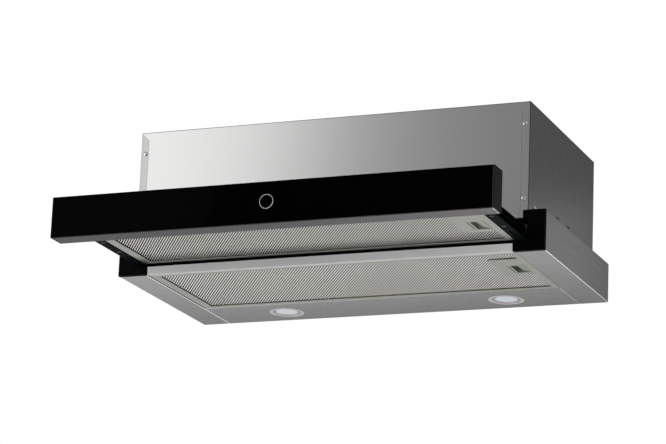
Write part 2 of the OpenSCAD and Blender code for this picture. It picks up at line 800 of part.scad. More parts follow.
// Motor can with its end shields, closed at the outer end
module motor() {
    length = motor_x1 - motor_x0;
    color(ZINC) translate([motor_x0, fan_y, fan_z]) rotate([0, 90, 0]) difference() {
        rotate_extrude() polygon([
            [0, 0], [motor_r * 0.6, 0], [motor_r * 0.7, 5], [motor_r - 2, 8],
            [motor_r - 2, 16], [motor_r, 16], [motor_r, length - 14], [motor_r - 2, length - 14],
            [motor_r - 2, length - 8], [motor_r * 0.7, length - 4],
            [motor_r * 0.4, length], [0, length]
        ]);
        translate([0, 0, 7.5]) cylinder(r = shaft_r + 0.05, h = length);
    }
}

// Three-armed spider that holds the motor in the left inlet
module motor_bracket() {
    arm_w = 12;
    reach = mouth_r + 9;
    hub_r = motor_r * 0.6;
    arm_x = hub_r - 5;
    foot_z = -motor_x0 - scroll_w / 2 - scroll_rim;
    color(DARK_STEEL) translate([motor_x0, fan_y, fan_z]) rotate([0, 90, 0]) {
        translate([0, 0, -2]) difference() {
            cylinder(r = hub_r, h = 2);
            translate([0, 0, -1]) cylinder(r = 5, h = 4);
        }
        for (i = [0 : 2]) rotate(120 * i + 30)
            translate([0, arm_w / 2, 0]) rotate([90, 0, 0]) linear_extrude(arm_w)
                polygon([
                    [arm_x, -1.8], [reach, -1.8], [reach, foot_z],
                    [reach - 1.6, foot_z], [reach - 1.6, -0.2], [arm_x, -0.2]
                ]);
    }
}

module capacitor() {
    color([0.85, 0.85, 0.83]) translate([150, base_y + 46, partition_z + sheet]) {
        cylinder(r = 14, h = 48);
        translate([0, 0, 48]) cylinder(r = 11, h = 3);
        for (x = [-5, 5]) translate([x - 0.4, -3, 51]) cube([0.8, 6, 7]);
    }
}

// ---- Duct collar ----

module outlet_collar() {
    bore = collar_r - collar_t;
    color([0.2, 0.2, 0.2]) translate([0, collar_y, box_top]) difference() {
        union() {
            cylinder(r = collar_r + 12, h = 2);
            cylinder(r = collar_r, h = collar_h);
        }
        translate([0, 0, -1]) cylinder(r = bore - 3, h = collar_h + 2);
        translate([0, 0, 5]) cylinder(r = bore, h = collar_h);
        translate([0, 0, -1]) cylinder(r = bore, h = 4);
        translate([-collar_r + 1, 0, rod_z - box_top]) rotate([0, 90, 0])
            cylinder(r = rod_r, h = 2 * collar_r - 2);
    }
}

module flap_rod() {
    color(ZINC) translate([-collar_r + 1, collar_y, rod_z]) rotate([0, 90, 0])
        cylinder(r = rod_r, h = 2 * collar_r - 2);
}

// Half disc with two knuckles round the rod; side is -1 for the one at the front
module flap(side) {
    flap_r = collar_r - collar_t - 0.6;
    knuckle_w = 10;
    places = [-13.5 + 7 * side, 13.5 + 7 * side];
    color([0.25, 0.25, 0.25]) translate([0, collar_y, 0]) difference() {
        union() {
            translate([0, 0, flap_z]) linear_extrude(flap_t) {
                intersection() {
                    circle(r = flap_r);
                    translate([-flap_r, side < 0 ? -flap_r : 3.4])
                        square([2 * flap_r, flap_r - 3.4]);
                }
                for (x = places) translate([x - knuckle_w / 2, side < 0 ? -3.5 : 0.6])
                    square([knuckle_w, 2.9]);
            }
            for (x = places) translate([x - knuckle_w / 2, 0, rod_z])
                rotate([0, 90, 0]) cylinder(r = rod_r + 1.2, h = knuckle_w);
        }
        translate([-flap_r, 0, rod_z]) rotate([0, 90, 0])
            cylinder(r = rod_r + 0.05, h = 2 * flap_r);
    }
}

module flap_front() { flap(-1); }

module flap_rear() { flap(1); }

// ---- Controls and wiring ----

module control_box() {
    wall = 2;
    color([0.9, 0.9, 0.88]) translate([-box_in + 12, base_y + 14, partition_z + sheet]) {
        difference() {
            cube([110, 60, 38]);
            translate([wall, wall, wall]) cube([110 - 2 * wall, 60 - 2 * wall, 38]);
        }
        for (x = [10, 100], y = [10, 50]) translate([x, y, wall]) cylinder(r = 3, h = 5);
    }
}

module control_lid() {
    color([0.9, 0.9, 0.88]) translate([-box_in + 12, base_y + 14, partition_z + sheet + 38]) {
        cube([110, 60, 2]);
        translate([2.3, 2.3, -3]) difference() {
            cube([105.4, 55.4, 3.5]);
            translate([2, 2, -1]) cube([101.4, 51.4, 5]);
        }
    }
}

module control_board() {
    color([0.1, 0.4, 0.2]) translate([-box_in + 12, base_y + 14, partition_z + sheet + 7]) {
        translate([4, 4, 0]) cube([102, 52, 1.6]);
        translate([20, 14, 1.6]) cube([28, 24, 18]);
        translate([60, 16, 1.6]) cube([18, 14, 12]);
        translate([86, 30, 1.6]) cylinder(r = 5, h = 16);
    }
}

module terminal_block() {
    color([0.92, 0.92, 0.9]) difference() {
        block(-236, -196, -sheet - 18, -sheet, box_top - 50, box_top - 36);
        for (i = [0 : 3]) translate([-230 + i * 9.3, -sheet - 13, box_top - 40])
            cylinder(r = 2.2, h = 5);
    }
}

module cable_gland() {
    color([0.15, 0.15, 0.15]) translate([gland_x, gland_y, box_top]) difference() {
        union() {
            cylinder(r = gland_r + 4, h = 3, $fn = 6);
            cylinder(r = gland_r, h = 11);
            translate([0, 0, -14]) cylinder(r = gland_r, h = 15);
            translate([0, 0, -sheet - 4]) cylinder(r = gland_r + 3.5, h = 4, $fn = 6);
        }
        translate([0, 0, -15]) cylinder(r = cable_r, h = 27);
    }
}

// Proximity sensor that the drawer's left side closes
module drawer_sensor() {
    color([0.9, 0.9, 0.9])
        block(-box_in, -box_in + 12, -20, -5, runner_z - 8, runner_z + 8);
}

module front_screws() {
    color([0.85, 0.85, 0.85]) front_screw_places() pan_screw(8);
}

module side_screws() {
    color([0.6, 0.6, 0.6]) side_screw_places() pan_screw(4);
}

// ---- Drawer ----

module glass_front() {
    color(BLACK) difference() {
        block(-half_w + cap_lip + seam, half_w - cap_lip - seam, panel_y, panel_y + glass_t,
            0, base_h);
        ring_place() difference() {
            translate([0, 0, -1]) cylinder(r = ring_r, h = 1.6);
            translate([0, 0, -2]) cylinder(r = ring_r - ring_line, h = 4);
        }
    }
}

// Middle of the touch control on the glass, with +Z pointing into it
module ring_place() {
    translate([0, panel_y, base_h / 2 + 1]) rotate([-90, 0, 0]) children();
}

module touch_ring() {
    color([0.8, 0.8, 0.75]) ring_place() difference() {
        cylinder(r = ring_r, h = 0.6);
        translate([0, 0, -1]) cylinder(r = ring_r - ring_line, h = 3);
    }
}

// Steel box section behind the glass, open in front of the touch board
module panel_carrier() {
    end_x = half_w - end_cap_t;
    y0 = panel_y + glass_t;
    color([0.45, 0.44, 0.45]) difference() {
        along_x(-end_x, end_x) difference() {
            translate([y0, 0]) square([panel_back - y0, base_h]);
            translate([y0 + sheet, sheet])
                square([panel_back - y0 - 2 * sheet, base_h - 2 * sheet]);
        }
        block(-40, 40, y0 - 1, y0 + sheet + 1, 12, base_h - 10);
    }
}

module touch_board() {
    y0 = panel_y + glass_t;
    color([0.1, 0.4, 0.2]) {
        block(-38, 38, y0, y0 + 1.6, 14, base_h - 12);
        block(-10, 10, y0 + 1.6, y0 + 4.6, 20, 32);
    }
}

// Plastic cap with a hollow plug in the end of the box section
module end_cap(side) {
    x1 = half_w - end_cap_t;
    y0 = panel_y + glass_t;
    color(BLACK) for_side(side) {
        block(x1, half_w, y0, panel_back, 0, base_h);
        block(half_w - cap_lip, half_w, panel_y + 0.4, y0 + 1, 0, base_h);
        along_x(x1 - 8, x1) difference() {
            translate([y0 + sheet + seam, sheet + seam])
                square([panel_back - y0 - 2 * sheet - 2 * seam, base_h - 2 * sheet - 2 * seam]);
            translate([y0 + sheet + seam + 2, sheet + seam + 2])
                square([panel_back - y0 - 2 * sheet - 2 * seam - 4,
                    base_h - 2 * sheet - 2 * seam - 4]);
        }
    }
}

module end_cap_left() { end_cap(-1); }

module end_cap_right() { end_cap(1); }

// The two places of the screws in each of the drawer's outer flanges
module drawer_screw_places() {
    for (side = [-1, 1], y = [57.5, 105])
        translate([side * (wall_x + 3.7), panel_back + y, flange_z]) children();
}

// Folded side: an outer flange below, a ledge for the filter, a wall for the
// runner and a lip under the top
module drawer_side(side) {
    y1 = panel_back + drawer_side_l;
    color(DARK_STEEL) difference() {
        for_side(side) {
            along_y(panel_back, y1) polygon([
                [wall_x - flange_in, rail_z], [wall_x - sheet, rail_z],
                [wall_x - sheet, flange_z], [wall_x + flange_out, flange_z],
                [wall_x + flange_out, flange_z + sheet], [wall_x, flange_z + sheet],
                [wall_x, drawer_wall_top], [wall_x - 12, drawer_wall_top],
                [wall_x - 12, drawer_wall_top - sheet], [wall_x - sheet, drawer_wall_top - sheet],
                [wall_x - sheet, rail_z + sheet], [wall_x - flange_in, rail_z + sheet]
            ]);
            block(wall_x - 14, wall_x - sheet, panel_back, panel_back + sheet,
                rail_z + sheet, drawer_wall_top - sheet);
        }
        drawer_screw_places() {
            cylinder(r1 = 2.8, r2 = 1.5, h = sheet);
            translate([0, 0, -1]) cylinder(r = 2.8, h = 1);
        }
        // Oblong hole behind the screws
        for_side(side) for (y = [126, 146])
            translate([wall_x + 3.7, panel_back + y, flange_z - 1]) cylinder(r = 1.4, h = 3);
        for_side(side) block(wall_x + 2.3, wall_x + 5.1, panel_back + 126, panel_back + 146,
            flange_z - 1, flange_z + 2);
    }
}

module drawer_side_left() { drawer_side(-1); }

module drawer_side_right() { drawer_side(1); }

module drawer_screws() {
    color([0.8, 0.8, 0.8]) drawer_screw_places() {
        cylinder(r1 = 2.8, r2 = 1.5, h = sheet);
        translate([0, 0, sheet]) cylinder(r = 1.5, h = 3);
    }
}

// Sheet that closes the drawer above
module drawer_top() {
    color(STEEL) {
        block(-wall_x, wall_x, panel_back, drawer_y1 + 14, drawer_wall_top,
            drawer_wall_top + sheet);
        block(-wall_x + 14.2, wall_x - 14.2, panel_back, panel_back + sheet,
            drawer_wall_top - 8, drawer_wall_top);
    }
}

// Cross bar behind the drawer's filter, resting on the flanges
module drawer_rear_bar() {
    mid_x = wall_x - flange_in - seam;
    color(DARK_STEEL) {
        block(-mid_x, mid_x, drawer_y1 - 14, drawer_y1 + 6, rail_z, rail_z + sheet);
        for (side = [-1, 1]) for_side(side)
            block(mid_x - 12, wall_x - sheet - seam, drawer_y1 - 10, drawer_y1 + 6,
                rail_z + sheet, rail_z + 2 * sheet);
        block(-mid_x, mid_x, drawer_y1 + 6 - sheet, drawer_y1 + 6, rail_z + sheet,
            rail_z + fold);
    }
}

front_plate();
side_panel_left();
side_panel_right();
top_plate();
back_plate();
base_side_left();
base_side_right();
lamp_panel();
front_bar();
corner_cap_left();
corner_cap_right();
partition_plate();
runner_outer_left();
runner_outer_right();
main_filter_frame();
main_filter_mesh();
main_latch();
main_latch_spring();
lamp_bezels();
lamp_rings();
lamp_lenses();
lamp_bodies();
scroll_wall();
scroll_side_left();
scroll_side_right();
impeller();
fan_shaft();
motor();
motor_bracket();
capacitor();
outlet_collar();
flap_rod();
flap_front();
flap_rear();
control_box();
control_lid();
control_board();
terminal_block();
cable_gland();
drawer_sensor();
front_screws();
side_screws();
glass_front();
panel_carrier();
end_cap_left();
end_cap_right();
touch_board();
touch_ring();
drawer_side_left();
drawer_side_right();
drawer_top();
drawer_rear_bar();
runner_inner_left();
runner_inner_right();
drawer_screws();
drawer_filter_frame();
drawer_filter_mesh();
drawer_latch();
drawer_latch_spring();
runner_cages();
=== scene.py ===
import math

import bmesh
import bpy
from mathutils import Matrix, Vector


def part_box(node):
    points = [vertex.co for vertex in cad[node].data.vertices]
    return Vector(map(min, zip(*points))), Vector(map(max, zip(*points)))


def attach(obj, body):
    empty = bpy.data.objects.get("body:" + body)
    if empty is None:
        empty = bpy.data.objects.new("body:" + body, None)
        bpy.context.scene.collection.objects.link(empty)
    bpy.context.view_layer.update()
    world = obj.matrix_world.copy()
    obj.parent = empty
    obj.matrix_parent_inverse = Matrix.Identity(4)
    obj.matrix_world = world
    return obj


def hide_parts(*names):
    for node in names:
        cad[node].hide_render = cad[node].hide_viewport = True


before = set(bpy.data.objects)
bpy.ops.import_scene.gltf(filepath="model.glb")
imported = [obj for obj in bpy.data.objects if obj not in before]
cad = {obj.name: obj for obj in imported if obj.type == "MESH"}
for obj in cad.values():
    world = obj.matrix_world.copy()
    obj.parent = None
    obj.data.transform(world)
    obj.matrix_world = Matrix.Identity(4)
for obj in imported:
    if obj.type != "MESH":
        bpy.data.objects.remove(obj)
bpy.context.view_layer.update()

# ---- Camera ----
# The hood hangs above eye level, so the camera stands low, well to the right
# and almost four metres away, with a long lens.
camera = bpy.data.objects.new("camera", bpy.data.cameras.new("camera"))
camera.data.sensor_width = 36.0
camera.data.lens = 156.157
eye = Vector((1.39884, -3.65138, -0.95932))
yaw, tilt, roll = -0.391286, 0.271501, 0.041097
forward = Vector((math.sin(yaw) * math.cos(tilt), math.cos(yaw) * math.cos(tilt),
                  math.sin(tilt)))
sideways = Vector((math.cos(yaw), -math.sin(yaw), 0.0))
overhead = sideways.cross(forward)
camera_right = math.cos(roll) * sideways + math.sin(roll) * overhead
camera_up = math.cos(roll) * overhead - math.sin(roll) * sideways
camera.matrix_world = (Matrix.Translation(eye)
                       @ Matrix((camera_right, camera_up, -forward)).transposed().to_4x4())
bpy.context.scene.collection.objects.link(camera)
bpy.context.scene.camera = camera
bpy.context.scene.view_settings.view_transform = "Standard"

# ---- Floor ----
# A plain pale floor far below the hood. It shines a little by itself, so that it
# looks as pale from every side, and the hood neither mirrors it nor takes light
# from it.
floor_level, floor_reach = -5.6, 30
floor_mesh = bpy.data.meshes.new("floor")
floor_mesh.from_pydata([(x * floor_reach, y * floor_reach, floor_level)
                        for x, y in ((-1, -1), (1, -1), (1, 1), (-1, 1))],
                       [], [(0, 1, 2, 3)])
floor = bpy.data.objects.new("floor", floor_mesh)
floor_paint = bpy.data.materials.new("floor_paint")
floor_paint.use_nodes = True
floor_shader = floor_paint.node_tree.nodes["Principled BSDF"]
floor_shader.inputs["Base Color"].default_value = (0.72, 0.72, 0.72, 1)
floor_shader.inputs["Roughness"].default_value = 0.8
floor_shader.inputs["Emission Color"].default_value = (0.9, 0.9, 0.9, 1)
floor_shader.inputs["Emission Strength"].default_value = 0.6
floor.visible_diffuse = floor.visible_glossy = False
floor_mesh.materials.append(floor_paint)
bpy.context.scene.collection.objects.link(floor)


# ---- Studio light ----
# A large soft box at the left of the camera fades along the front plate. Weaker
# ones stand at the right, above, below and behind, and small ones light the right
# edges. The room glows dimly on five sides, which the steel mirrors.
def soft_box(name, centre, aim, size, power):
    """A rectangular light at centre, turned towards aim; the camera doesn't see it."""
    lamp = bpy.data.lights.new(name, "AREA")
    lamp.shape = "RECTANGLE"
    lamp.size, lamp.size_y = size
    lamp.energy = power
    box = bpy.data.objects.new(name, lamp)
    box.location = centre
    box.rotation_euler = (Vector(aim) - Vector(centre)).to_track_quat("-Z", "Y").to_euler()
    box.visible_camera = False
    bpy.context.scene.collection.objects.link(box)


soft_box("front_soft_box", (-1.51, -1.71, 0.55), (-0.15, -0.33, 0.1), (1.65, 1.9), 13.0)
soft_box("top_box", (0.3, -0.4, 3.0), (0.0, -0.2, 0.2), (3.2, 3.2), 16.0)
soft_box("rear_low_box", (0.05, 1.0, -0.87), (0.05, -0.3, -0.87), (2.8, 1.0), 8.0)
soft_box("side_card", (1.10, 0.6, -0.09), (1.10, -0.3, -0.09), (1.2, 0.83), 0.92)
soft_box("under_box", (-0.7, -0.75, -1.5), (-0.2, -0.3, 0.0), (1.2, 1.0), 4.2)
soft_box("front_low_box", (-1.5, -1.6, -0.75), (-0.4, -0.28, 0.0), (2.0, 1.2), 9.5)
soft_box("front_right_box", (1.9, -2.1, 1.0), (0.0, -0.2, 0.1), (2.4, 1.4), 9.0)
soft_box("right_low_box", (0.34, -0.60, -0.14), (0.32, -0.56, 0.0), (0.45, 0.12), 0.45)
soft_box("edge_strip", (0.68, 1.0, -0.44), (0.68, -0.3, -0.44), (0.2, 0.3), 0.25)

room = bpy.data.worlds.new("room")
room.use_nodes = True
bpy.context.scene.world = room
nodes, links = room.node_tree.nodes, room.node_tree.links
nodes.clear()
direction = nodes.new("ShaderNodeTexCoord").outputs["Generated"]


def feed(tree, socket, value):
    """Sets a socket to a number, or links another node's output to it."""
    if isinstance(value, (int, float)):
        socket.default_value = value
    else:
        tree.links.new(value, socket)


def calculator(tree):
    """A function that adds one math node to the tree and gives its result."""
    def calc(kind, *values):
        node = tree.nodes.new("ShaderNodeMath")
        node.operation = kind
        for socket, value in zip(node.inputs, values):
            feed(tree, socket, value)
        return node.outputs[0]

    return calc


def glow_towards(point, edge):
    """0 to 1 as a direction turns towards a point of the room; edge is a cosine."""
    nearness = nodes.new("ShaderNodeVectorMath")
    nearness.operation = "DOT_PRODUCT"
    nearness.inputs[1].default_value = Vector(point).normalized()
    links.new(direction, nearness.inputs[0])
    fade = nodes.new("ShaderNodeMapRange")
    fade.interpolation_type = "SMOOTHSTEP"
    fade.inputs["From Min"].default_value = edge
    fade.inputs["From Max"].default_value = 1.0
    links.new(nearness.outputs["Value"], fade.inputs["Value"])
    return fade.outputs["Result"]


room_calc = calculator(room.node_tree)
glow = 0.04
for point, edge, strength in (
    ((-0.2, -0.95, 0.25), 0.8, 0.22),
    ((0.6, 0.4, 0.7), 0.5, 0.20),
    ((-1.0, 0.3, 0.1), 0.3, 0.25),
    ((0.0, 0.0, -1.0), 0.45, 0.22),
    ((1.0, -0.1, 0.15), 0.75, 0.35),
):
    glow = room_calc("ADD", glow, room_calc("MULTIPLY", glow_towards(point, edge), strength))
backdrop, room_light = nodes.new("ShaderNodeBackground"), nodes.new("ShaderNodeBackground")
backdrop.inputs["Color"].default_value = room_light.inputs["Color"].default_value = (1, 1, 1, 1)
backdrop.inputs["Strength"].default_value = 1.02
links.new(glow, room_light.inputs["Strength"])
seen_or_lit = nodes.new("ShaderNodeMixShader")
links.new(nodes.new("ShaderNodeLightPath").outputs["Is Camera Ray"], seen_or_lit.inputs["Fac"])
links.new(room_light.outputs[0], seen_or_lit.inputs[1])
links.new(backdrop.outputs[0], seen_or_lit.inputs[2])
links.new(seen_or_lit.outputs[0], nodes.new("ShaderNodeOutputWorld").inputs["Surface"])

# ---- Upper box ----
# Folded stainless sheet, 1 mm thick: a smooth satin front plate, two sides whose
# flanges overlap it, a top tray and a back. The sheet was polished, so its grain
# is very fine.
sheet = 0.001  # also the outer radius of the folds that show
noise_low, noise_high = 0.42, 0.92
cloud_share = 0.35
grain_depth = 0.0001


def finish(name, colour, rough, grain, tone, spread, relief, metallic=1.0, cloud=3.0,
           specular=0.5, shine=0.0):
    """A surface whose colour, gloss and relief follow a fine noise that grain stretches.

    grain is the noise's scale, one number or one for each axis. tone and spread are how
    far colour and roughness vary, relief is the depth of the grain, cloud is the scale of
    a broader noise, and shine is light that the surface gives by itself.
    """
    made = bpy.data.materials.new(name)
    made.use_nodes = True
    tree = made.node_tree
    shader = tree.nodes["Principled BSDF"]
    shader.inputs["Metallic"].default_value = metallic
    shader.inputs["Specular IOR Level"].default_value = specular
    shader.inputs["Emission Color"].default_value = (*colour, 1.0)
    shader.inputs["Emission Strength"].default_value = shine
    place = tree.nodes.new("ShaderNodeTexCoord").outputs["Object"]
    stretch = tree.nodes.new("ShaderNodeMapping")
    stretch.inputs["Scale"].default_value = grain if isinstance(grain, tuple) else (grain,) * 3
    tree.links.new(place, stretch.inputs["Vector"])
    fine = tree.nodes.new("ShaderNodeTexNoise")
    fine.inputs["Scale"].default_value = 1.0
    fine.inputs["Detail"].default_value = 4.0
    tree.links.new(stretch.outputs["Vector"], fine.inputs["Vector"])
    broad = tree.nodes.new("ShaderNodeTexNoise")
    broad.inputs["Scale"].default_value = cloud
    broad.inputs["Detail"].default_value = 2.0
    tree.links.new(place, broad.inputs["Vector"])
    both = calculator(tree)("MULTIPLY_ADD", broad.outputs["Fac"], cloud_share,
                            fine.outputs["Fac"])
    shade = tree.nodes.new("ShaderNodeValToRGB")
    for stop, value, side in zip(shade.color_ramp.elements, (noise_low, noise_high), (-1, 1)):
        stop.position = value
        stop.color = [*(max(0.0, c * (1 + side * tone)) for c in colour), 1.0]
    tree.links.new(both, shade.inputs["Fac"])
    tree.links.new(shade.outputs["Color"], shader.inputs["Base Color"])
    gloss = tree.nodes.new("ShaderNodeMapRange")
    gloss.inputs["From Min"].default_value = noise_low
    gloss.inputs["From Max"].default_value = noise_high
    gloss.inputs["To Min"].default_value = rough - spread
    gloss.inputs["To Max"].default_value = rough + spread
    tree.links.new(both, gloss.inputs["Value"])
    tree.links.new(gloss.outputs["Result"], shader.inputs["Roughness"])
    bump = tree.nodes.new("ShaderNodeBump")
    bump.inputs["Strength"].default_value = relief
    bump.inputs["Distance"].default_value = grain_depth
    tree.links.new(fine.outputs["Fac"], bump.inputs["Height"])
    tree.links.new(bump.outputs["Normal"], shader.inputs["Normal"])
    return made


def merged(node):
    """The node's loose triangles joined at their corners, to work on."""
    solid = bmesh.new()
    solid.from_mesh(cad[node].data)
    bmesh.ops.remove_doubles(solid, verts=solid.verts, dist=2e-7)
    return solid


def flat_faced(node):
    """The node's shape as a clean mesh, with one face for each flat stretch."""
    solid = merged(node)
    bmesh.ops.dissolve_limit(solid, angle_limit=0.002, verts=solid.verts, edges=solid.edges)
    mesh = bpy.data.meshes.new(node)
    solid.verts.index_update()
    mesh.from_pydata([v.co[:] for v in solid.verts], [],
                     [[v.index for v in f.verts] for f in solid.faces])
    solid.free()
    return mesh


def plain_mesh(piece):
    """The piece with its modifiers turned into its mesh."""
    bpy.context.view_layer.update()
    shape = bpy.data.meshes.new_from_object(
        piece.evaluated_get(bpy.context.evaluated_depsgraph_get()))
    piece.modifiers.clear()
    piece.data = shape
    return piece


def handed_in(piece, body, node):
    """Ties the piece to the body that it moves with and to the node that it replaces."""
    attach(piece, body)
    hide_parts(node)
    return piece


bend_steps, cut_steps = 5, 2
cut_angle, crease_angle = math.radians(50), math.radians(32)


def eased(node, body, paint, bend=None, radius=0.0, cut=0.00018):
    """The node's piece with its bends rounded and its cut edges broken.

    bend gives the share of the radius that an edge gets, from the edge's two ends. cut is
    the width of the broken edges.
    """
    mesh = flat_faced(node)
    piece = bpy.data.objects.new(node + "_piece", mesh)
    bpy.context.scene.collection.objects.link(piece)
    if bend is not None:
        weight = mesh.attributes.new("bevel_weight_edge", "FLOAT", "EDGE")
        for line in mesh.edges:
            ends = [mesh.vertices[i].co for i in line.vertices]
            weight.data[line.index].value = float(bend(*ends))
        fold = piece.modifiers.new("fold", "BEVEL")
        fold.limit_method, fold.width, fold.segments = "WEIGHT", radius, bend_steps
    raw = piece.modifiers.new("cut_edge", "BEVEL")
    raw.limit_method, raw.angle_limit = "ANGLE", cut_angle
    raw.width, raw.segments = cut, cut_steps
    plain_mesh(piece)
    piece.data.materials.clear()
    piece.data.materials.append(paint)
    piece.data.shade_smooth()
    piece.data.set_sharp_from_angle(angle=crease_angle)
    flats = piece.modifiers.new("flats", "WEIGHTED_NORMAL")
    flats.keep_sharp = True
    return handed_in(plain_mesh(piece), body, node)


def at(value, place, gap=1e-5):
    """True where two coordinates differ by no more than rounding."""
    return abs(value - place) < gap


def along(axis, a, b, span=0.02):
    """True where an edge from a to b runs along that axis over at least span."""
    gap = b - a
    return abs(gap[axis]) > span and gap.length - abs(gap[axis]) < 1e-6


def repaint(piece, which, *paints):
    """Further finishes: which gives a face the number of its own, 0 for the piece's first."""
    for paint in paints:
        piece.data.materials.append(paint)
    for face in piece.data.polygons:
        face.material_index = which(face)


polished = dict(grain=700, tone=0.03, spread=0.02, relief=0.03)
satin_steel = finish("satin_steel", (0.60, 0.60, 0.595), rough=0.25, **polished)
# A darker copy of the satin steel, for the left flange only: painted shade.
flange_steel = finish("flange_steel", (0.42, 0.42, 0.415), rough=0.25, **polished)
# Near-black steel for the top fold of the front plate: painted shade.
fold_steel = finish("fold_steel", (0.09, 0.09, 0.09), rough=0.22, **polished)
side_steel = finish("side_steel", (0.37, 0.37, 0.37), rough=0.28, grain=(500, 90, 900),
                    tone=0.05, spread=0.03, relief=0.06)
# Near-black, for the rounded front corners of the sides: painted shadow of a gap between the
# sheets.
corner_fold = finish("corner_fold", (0.02, 0.02, 0.02), rough=0.4, grain=700, tone=0.1,
                     spread=0.05, relief=0.05, metallic=0.0, specular=0.1)

box_low, box_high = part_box("front_plate")


def top_fold_edge(a, b):
    return along(0, a, b) and at(a.y, box_low.y) and at(b.y, box_low.y) and at(a.z, box_high.z)


def plate_finish(face):
    """The fold along the top, where the normal turns from the front upwards, painted near-black
    as shade.
    """
    return int(face.normal.z > 0.15 and face.normal.y < -0.05)


repaint(eased("front_plate", "housing", satin_steel, top_fold_edge, radius=sheet),
        plate_finish, fold_steel)


def panel_finish(face):
    """1 is the flange's front, and 2 the rounded corner beside it, painted near-black as the
    shadow of a gap between the sheets.
    """
    if face.normal.y < -0.9:
        return 1
    return 2 if face.normal.y < -0.2 and abs(face.normal.x) > 0.2 else 0


# The left flange gets the darker copy as painted shade, the right one the plain satin steel.
for node, flange_paint in (("side_panel_left", flange_steel), ("side_panel_right", satin_steel)):
    low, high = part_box(node)
    outer = max(-low.x, high.x)

    def corner_edge(a, b):
        return along(2, a, b) and at(a.y, low.y) and at(b.y, low.y) and at(abs(a.x), outer)

    # The rounding stops by itself at the sheet's thickness
    repaint(eased(node, "housing", side_steel, corner_edge, radius=2 * sheet),
            panel_finish, flange_paint, corner_fold)
for node in ("top_plate", "back_plate"):
    eased(node, "housing", side_steel)

# ---- Base ----
# The two sides of the base are folded from brushed stainless with the grain along
# the depth, and each has a strip on the underside. The lamp panel closes the
# underside at the rear, with its grain along the width.
brushed_steel = finish("brushed_steel", (0.42, 0.42, 0.415), rough=0.26,
                       grain=(1000, 16, 1000), tone=0.075, spread=0.015, relief=0.03)
side_grain = finish("side_grain", (0.39, 0.39, 0.385), rough=0.26, grain=(500, 9, 620),
                    tone=0.17, spread=0.02, relief=0.03)
# Near-white steel for the base's lower bends: painted highlight.
bright_bend = finish("bright_bend", (0.95, 0.95, 0.95), rough=0.22, **polished)
panel_steel = finish("lamp_panel_steel", (0.45, 0.45, 0.45), rough=0.26,
                     grain=(16, 1000, 1000), tone=0.04, spread=0.015, relief=0.02)
underside = 0.0
strip_w, rim_h = 0.040, 0.004
bend_half, bend_top = 0.0009, 0.0014
for node in ("base_side_left", "base_side_right"):
    low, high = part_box(node)
    outer = max(-low.x, high.x)
    inner = outer - strip_w

    def base_bend(a, b):
        """The outer side's lower and upper bends and the strip's inner one."""
        outer_bend = at(abs(a.x), outer) and (at(a.z, underside) or a.z > high.z - rim_h)
        inner_bend = at(abs(a.x), inner, 1e-4) and at(a.z, underside)
        return along(1, a, b) and (outer_bend or inner_bend)

    def base_finish(face):
        """1 is the two lower bends, painted bright as a highlight, and 2 the outer side."""
        x, turn = abs(face.center.x), face.normal
        by_bend = any(abs(x - middle) < bend_half for middle in (inner + 0.0007, outer - 0.0005))
        if by_bend and face.center.z < bend_top and turn.z < -0.1 and abs(turn.x) > 0.25:
            return 1
        return 2 if x > outer - 0.0001 and abs(turn.x) > 0.95 else 0

    repaint(eased(node, "housing", brushed_steel, base_bend, radius=sheet),
            base_finish, bright_bend, side_grain)


def lamp_panel_bend(a, b):
    return at(a.z, underside) and at(b.z, underside) and (along(0, a, b) or along(1, a, b))


eased("lamp_panel", "housing", panel_steel, lamp_panel_bend, radius=sheet)

# ---- Front bar and corner caps ----
# A hollow aluminium bar, satin anodised, closes the underside in front; two
# moulded black plastic caps finish the base's front corners.
anodised = finish("anodised_bar", (0.90, 0.90, 0.90), rough=0.55, grain=(16, 1200, 1200),
                  tone=0.03, spread=0.03, relief=0.04, metallic=0.1)
bar_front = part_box("front_bar")[0].y


def bar_corner(a, b):
    return along(0, a, b) and at(a.y, bar_front)


eased("front_bar", "housing", anodised, bar_corner, radius=0.0008)
black_plastic = finish("black_plastic", (0.0012, 0.0012, 0.0013), rough=0.46, grain=1400,
                       tone=0.15, spread=0.05, relief=0.3, metallic=0.0, specular=0.03)
for node in ("corner_cap_left", "corner_cap_right"):
    eased(node, "housing", black_plastic, cut=0.0004)


# ---- Partition and ball runners ----
# Galvanised sheet and roll-formed runners, which get the black finish as painted shade: the outer
# members are fixed to the sides, the inner ones to the drawer, and a strip holds the balls
# between them.
def dress(paint, *names):
    """CAD nodes shown as they are, in the given finish."""
    for name in names:
        cad[name].data.materials.clear()
        cad[name].data.materials.append(paint)


zinc = finish("galvanised_sheet", (0.50, 0.52, 0.54), rough=0.40, grain=160, tone=0.16,
              spread=0.08, relief=0.15, cloud=40.0)
black_steel = finish("black_steel", (0.007, 0.009, 0.010), rough=0.42, grain=700, tone=0.15,
                     spread=0.05, relief=0.1, metallic=0.0, specular=0.006)
dress(zinc, "partition_plate", "runner_cages")
# The runners, zinc-plated steel, get the black finish as painted shade.
dress(black_steel, "runner_inner_left", "runner_inner_right", "runner_outer_left",
      "runner_outer_right")

# ---- Frames of the grease filters ----
# Each cassette has a folded aluminium frame, with a wider bend at its sides than
# at its front and rear.
filter_metal = finish("filter_aluminium", (0.455, 0.47, 0.42), rough=0.42, grain=900,
                      tone=0.05, spread=0.05, relief=0.15)
